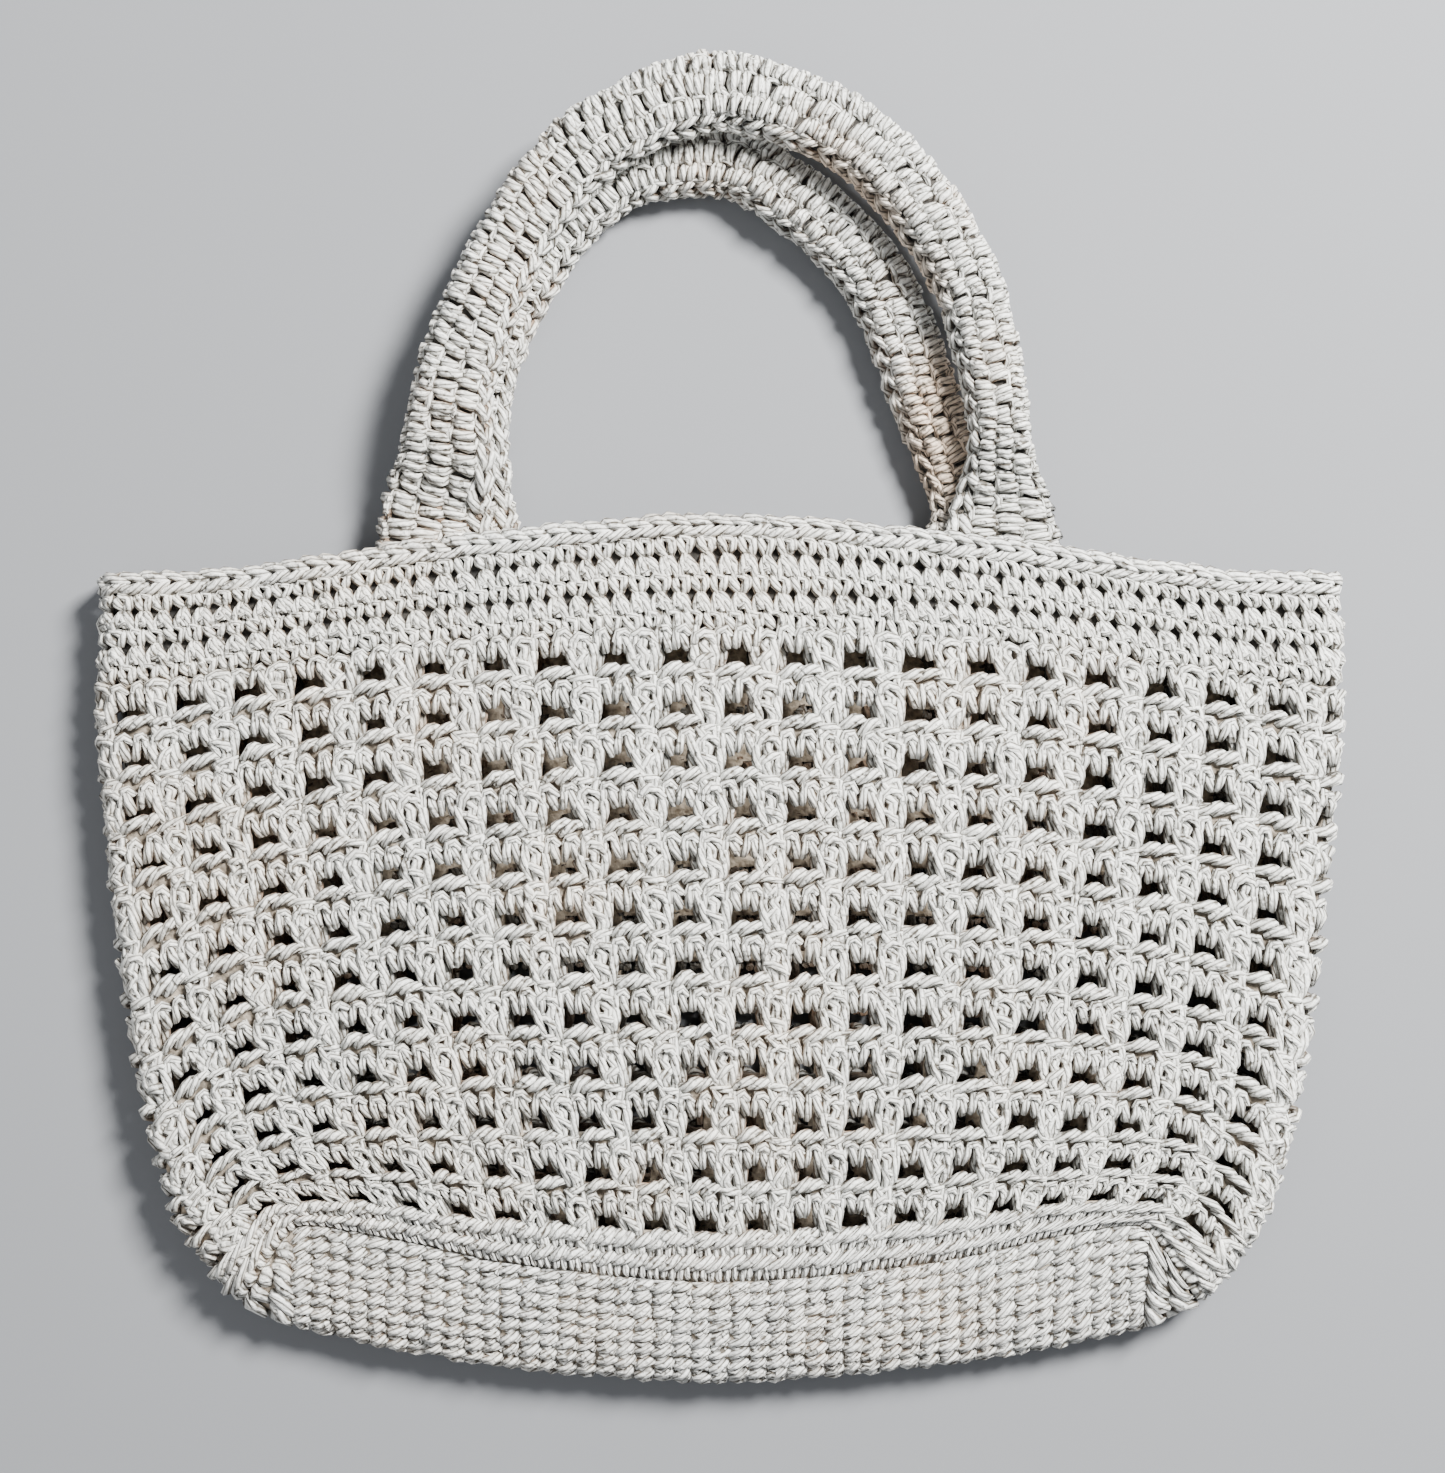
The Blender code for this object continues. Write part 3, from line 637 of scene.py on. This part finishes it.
def core_material(name, dark, light):
    """Yarn deep between the strands, with the stitches' rise and fall, mottled between the dark and light colours
    given; where it lies between strands, those colours are painted shade.
    """
    material = bpy.data.materials.new(name)
    material.use_nodes = True
    nodes, links = material.node_tree.nodes, material.node_tree.links
    surface = nodes["Principled BSDF"]
    surface.inputs["Roughness"].default_value = 0.95
    place = nodes.new("ShaderNodeTexCoord")
    noise = nodes.new("ShaderNodeTexNoise")
    noise.inputs["Scale"].default_value = 420.0
    links.new(place.outputs["Object"], noise.inputs["Vector"])
    ramp = nodes.new("ShaderNodeValToRGB")
    ramp.color_ramp.elements[0].position, ramp.color_ramp.elements[1].position = 0.35, 0.68
    ramp.color_ramp.elements[0].color, ramp.color_ramp.elements[1].color = (*dark, 1), (*light, 1)
    bump = nodes.new("ShaderNodeBump")
    bump.inputs["Distance"].default_value = 0.001
    links.new(noise.outputs[0], ramp.inputs[0])
    links.new(ramp.outputs[0], surface.inputs["Base Color"])
    links.new(noise.outputs[0], bump.inputs["Height"])
    links.new(bump.outputs[0], surface.inputs["Normal"])
    return material


LIGHT, SHADE, WARM = (0.97, 0.975, 0.925), (0.10, 0.088, 0.07), (0.93, 0.77, 0.59)
NET_CORD = cord_material("net_cord", LIGHT, SHADE, WARM)
BAND_CORD = cord_material("band_cord", LIGHT, SHADE, WARM)
RIM_CORD = cord_material("rim_cord", (0.97, 0.975, 0.935), SHADE, WARM)
BASE_CORD = cord_material("base_cord", (0.96, 0.965, 0.93), SHADE, WARM)
# Warm colour of the handles, painted into their shade and into spots of shade on their inner sides.
HANDLE_WARM_SHADE = (0.92, 0.72, 0.55)
FRONT_CORD = cord_material("front_handle_cord", LIGHT, SHADE, HANDLE_WARM_SHADE, (
    ((0.0330, 0.1570, 0.012), 0.018), ((0.0430, 0.1430, 0.012), 0.018), ((0.0540, 0.1250, 0.012), 0.018),
))
BACK_CORD = cord_material("back_handle_cord", LIGHT, SHADE, HANDLE_WARM_SHADE, (
    ((0.0700, 0.0970, 0.008), 0.021), ((0.0660, 0.0760, 0.008), 0.024),
))
# Painted shade: a near-black sheet behind the band's and handles' stitches, seen in the gaps between them.
SHADOW_CORE = core_material("painted_shade_yarn", (0.012, 0.011, 0.010), (0.05, 0.045, 0.038))
INSIDE = core_material("inside_yarn", (0.30, 0.27, 0.22), (0.78, 0.76, 0.70))
# Painted warm shade for the back wall's inside, seen through the net's holes.
FAR_SHADED_CORE = core_material("far_shaded_yarn", (0.30, 0.235, 0.165), (0.80, 0.68, 0.53))
# Painted shade between the strands of the front net, border and base.
NET_CORE = core_material("shaded_yarn", (0.12, 0.10, 0.075), (0.40, 0.34, 0.27))


def drift(v):
    """How far the columns have slid round by row v, in cells, as they do when rows are worked round."""
    t = np.clip((12 - v) / 12, -0.2, 1.1)
    return 0.665 + 0.25 * t + 0.235 * t * t


def over(columns, rows):
    """Every (column, row) pair as two flat arrays."""
    a, b = np.meshgrid(columns, rows)
    return a.ravel(), b.ravel()


RING = charted(ring_at, (0, CELLS), (-1.4, 14.8), (CELLS * 40, 324), True)
FIRST_HOLE, HOLE_STEP = 0.25, 1.0264


def net_at(cell, v):
    return RING(cell + drift(v), v)


def hole_at(cell, row):
    """The net where row counts its rows of holes. The rows of the back wall sag in its middle."""
    round_back = np.mod(cell + drift(FIRST_HOLE + HOLE_STEP * row), CELLS)
    across = np.sin(math.pi * np.clip((round_back - 20.4) / 20.9, 0, 1))
    sag = 0.44 * across * np.sin(math.pi * np.clip((row - 3.0) / 8.8, 0, 1))
    return net_at(cell, FIRST_HOLE + HOLE_STEP * (row - sag))


def build_net():
    posts = strand_set(NET_POST), strand_set(mirrored(NET_POST))
    leaf, teeth = strand_set(NET_LEAF), strand_set(NET_TEETH)
    unit_a, unit_b = 1 / CELL_WIDE, 1 / ROW_TALL
    # The last value of each wall is the painted shade on its strands' inner sides: full on the front, lighter on the
    # back wall seen through the holes.
    for side, columns, seed, inner in (("front", range(-1, 20), 11, 1.0), ("back", range(20, 41), 12, 0.35)):
        work = Work(seed)
        a, b = over(np.array(columns), np.arange(0, 12))
        turned = work.rng.random(len(a)) < 0.4
        for post, some in zip(posts, (~turned, turned)):
            work.add(post, a[some] * CELL_WIDE, b[some] * ROW_TALL, hole_at, unit_a, unit_b, jitter=0.32,
                     inner=inner)
        work.finish(f"net_posts_{side}", NET_CORD, "net_body")
        work = Work(seed + 5)
        for stitch, first in ((leaf, 0), (teeth, 1)):
            a, b = over(np.array(columns), np.arange(first, first + 12))
            pulled = 1.6 * np.abs(np.mod(a + 1, 21) / 10 - 1) ** 3 * first
            work.add(stitch, a * CELL_WIDE, b * ROW_TALL - pulled, hole_at, unit_a, unit_b, jitter=0.32,
                     inner=inner)
        work.finish(f"net_bars_{side}", NET_CORD, "net_body")

    def opens(cell, row):
        across, up = (cell % 1.0) * CELL_WIDE, ((row + 0.5) % 1.0 - 0.5) * ROW_TALL
        return 3.6 < across < 13.6 and abs(up) < 4.3

    # Sheets behind the net's strands, open at the holes: painted shade on the front, painted warm shade on the back
    # wall seen through the holes.
    for side, first, material in (("front", -1, NET_CORE), ("back", 20, FAR_SHADED_CORE)):
        core_sheet(f"net_core_{side}", hole_at, (first, first + 21), (-0.5, 11.5), (21 * 5, 12 * 5), -1.5 * MM,
                   material, "net_body", opens)


def build_band():
    lump, legs = strand_set(BAND_FAN), strand_set(BAND_LEGS)
    low, high = 12.08, RIM_ROW
    rows = 5
    tall = (high - low) / rows
    unit_a = 1 / STITCHES / STITCH
    unit_b = tall / 6.6
    work = Work(21)
    for row in range(rows):
        a = np.arange(CELLS * STITCHES) * STITCH + 0.35 * ((row + 1) // 2) * STITCH
        b = np.zeros(len(a)) + low / unit_b + row * 6.6
        work.add(lump if row % 2 == 1 else legs, a, b, net_at, unit_a, unit_b)
    work.finish("band_stitches", BAND_CORD, "top_band")
    core_sheet("band_inside", RING, (0, CELLS), (11.95, RIM_ROW), (CELLS * 3, 6), -3.0 * MM, INSIDE,
               "top_band", None, True)
    # A near-black sheet behind the band's stitches: painted shade in their gaps.
    core_sheet("band_core", RING, (0, CELLS), (11.95, RIM_ROW), (CELLS * 3, 6), -2.0 * MM, SHADOW_CORE,
               "top_band", None, True)


def rim_at(cell, h):
    """The rim over the band, h metres above the band's edge."""
    point = RING(cell, np.full(np.shape(cell), float(RIM_ROW)))
    point[..., 1] += h
    return point


def build_rim():
    link = strand_set(RIM_LINK)
    work = Work(31)
    a = np.arange(CELLS * STITCHES) * STITCH
    work.add(link, a, np.zeros(len(a)), rim_at, 1 / STITCHES / STITCH, MM, jitter=0.15)
    work.finish("rim_links", RIM_CORD, "rim_chain")


def build_border():
    link, legs = strand_set(RIDGE_LINK), strand_set(BORDER_LEGS)
    unit_a, unit_b = 1 / STITCHES / STITCH, 1 / 13.2
    work = Work(41)
    a = np.arange(CELLS * STITCHES) * STITCH
    for stitch, slide, low in ((link, 0, -7.8), (link, 2.2, -1.5), (legs, 0, -13.0), (legs, 1.4, -6.6)):
        work.add(stitch, a + slide, np.full(len(a), low), RING, unit_a, unit_b, jitter=0.2,
                 shift=-0.5 if stitch is link else -0.9)
    work.finish("border_stitches", BASE_CORD, "base_border")
    # A sheet of painted shade behind the border's stitches.
    core_sheet("border_core", RING, (0, CELLS), (-1, 0.06), (CELLS * 3, 4), -1.2 * MM, NET_CORE,
               "base_border", None, True)


def build_base():
    brick, link = strand_set(BASE_BRICK), strand_set(RIDGE_LINK)
    samples = np.linspace(-1, 1, 200)
    line = base_line(np.zeros(200), samples)
    run = np.concatenate([[0], np.cumsum(np.linalg.norm(np.diff(line, axis=0), axis=1))])
    half = (ROWS[0, 1] * BAG_WIDTH / 2 - WALL / 2) / MM
    rows = int(round(run[-1] / MM / 3.8))

    def folded(share, place):
        return base_at(share, np.interp(place, run / run[-1], samples))

    surface = charted(folded, (-1, 1), (0, 1), (500, 160))
    columns = np.arange(-int(half // 5.7) - 0.5, half // 5.7 + 0.6)
    a, b = over(columns * 5.7, np.arange(rows) * 4.0)
    work = Work(51)
    inside = np.abs(a + 2.8) < half * 0.94
    work.add(brick, a[inside], b[inside], surface, 1 / half, 1 / (rows * 4.0), jitter=0.3)
    for edge in (-0.985, -0.95, 0.95, 0.985):
        line = surface(np.full(60, edge), np.linspace(0, 1, 60))
        length = np.linalg.norm(np.diff(line, axis=0), axis=1).sum() / MM
        count = max(2, round(length / 5.4))
        work.add(link, np.arange(count) * length / count, np.zeros(count),
                 lambda along, across: surface(edge - across, along), 1 / length, 1 / half, jitter=0.2, shift=-0.8)
    work.finish("base_stitches", BASE_CORD, "base_panel")
    # A sheet of painted shade behind the base's stitches.
    core_sheet("base_core", surface, (-0.995, 0.995), (0, 1), (60, 24), -1.2 * MM, NET_CORE, "base_panel")


def build_handle(name, path, end_z, tube_z, node, cord, seed):
    exact, length = handle_surface(path, end_z, tube_z)
    surface = charted(exact, (0, length), (0, 1), (500, 80), closed_b=True)
    bars, vee = strand_set(STRAP_BARS), strand_set(STRAP_VEE)
    rows = 9
    count = int(length / MM / 6.0)
    pitch = length / MM / count
    stitch = np.arange(count) * pitch
    work = Work(seed)
    for row in range(rows):
        vees = row in (3, 4, 5)
        work.add(vee if vees else bars, stitch + (row * 2.3) % pitch, np.full(count, (row - 0.5) * 6.0), surface, MM,
                 -1 / rows / 6.0, jitter=0.4, shift=-1.7)
    work.finish(f"{name}_stitches", cord, node)
    # A near-black sheet inside the handle: painted shade in the gaps between its stitches.
    core_sheet(f"{name}_core", exact, (0, length), (0, 1), (120, 18), 2.2 * MM, SHADOW_CORE, node, None, True)


def build_stage():
    work = bmesh.new()
    bmesh.ops.create_grid(work, x_segments=1, y_segments=1, size=2.0)
    mesh = bpy.data.meshes.new("floor")
    work.to_mesh(mesh)
    work.free()
    floor = bpy.data.objects.new("floor", mesh)
    bpy.context.scene.collection.objects.link(floor)
    material = bpy.data.materials.new("floor_paper")
    material.use_nodes = True
    surface = material.node_tree.nodes["Principled BSDF"]
    surface.inputs["Base Color"].default_value = (0.215, 0.222, 0.235, 1)
    surface.inputs["Roughness"].default_value = 0.9
    mesh.materials.append(material)


def add_light(name, place, size, power, colour):
    data = bpy.data.lights.new(name, "AREA")
    data.size, data.energy, data.color = size, power, colour
    lamp = bpy.data.objects.new(name, data)
    lamp.location = place
    way = -np.array(place) / np.linalg.norm(place)
    from mathutils import Vector

    lamp.rotation_mode = "QUATERNION"
    lamp.rotation_quaternion = Vector(way).to_track_quat("-Z", "Y")
    bpy.context.scene.collection.objects.link(lamp)


def build_view():
    data = bpy.data.cameras.new("camera")
    data.lens, data.sensor_width = 60, 36
    camera = bpy.data.objects.new("camera", data)
    camera.location = (0.0007, -0.0034, 0.7145)
    bpy.context.scene.collection.objects.link(camera)
    bpy.context.scene.camera = camera
    add_light("key", (0.75, 0.7, 1.0), 0.40, 103, (1.0, 0.99, 0.97))
    add_light("fill", (-0.9, -0.3, 1.2), 1.2, 6, (0.97, 0.98, 1.0))
    world = bpy.data.worlds.new("studio")
    world.use_nodes = True
    world.node_tree.nodes["Background"].inputs[0].default_value = (0.95, 0.97, 1.0, 1)
    world.node_tree.nodes["Background"].inputs[1].default_value = 0.34
    bpy.context.scene.world = world


build_view()
build_stage()
build_net()
build_band()
build_rim()
build_border()
build_base()
build_handle("front_handle", FRONT_PATH, 0.0124, 1.5 * TUBE_THICK + CLEAR, "front_handle",
             FRONT_CORD, 61)
build_handle("back_handle", BACK_PATH, WALL + CLEAR + END_THICK / 2, TUBE_THICK / 2, "back_handle",
             BACK_CORD, 71)
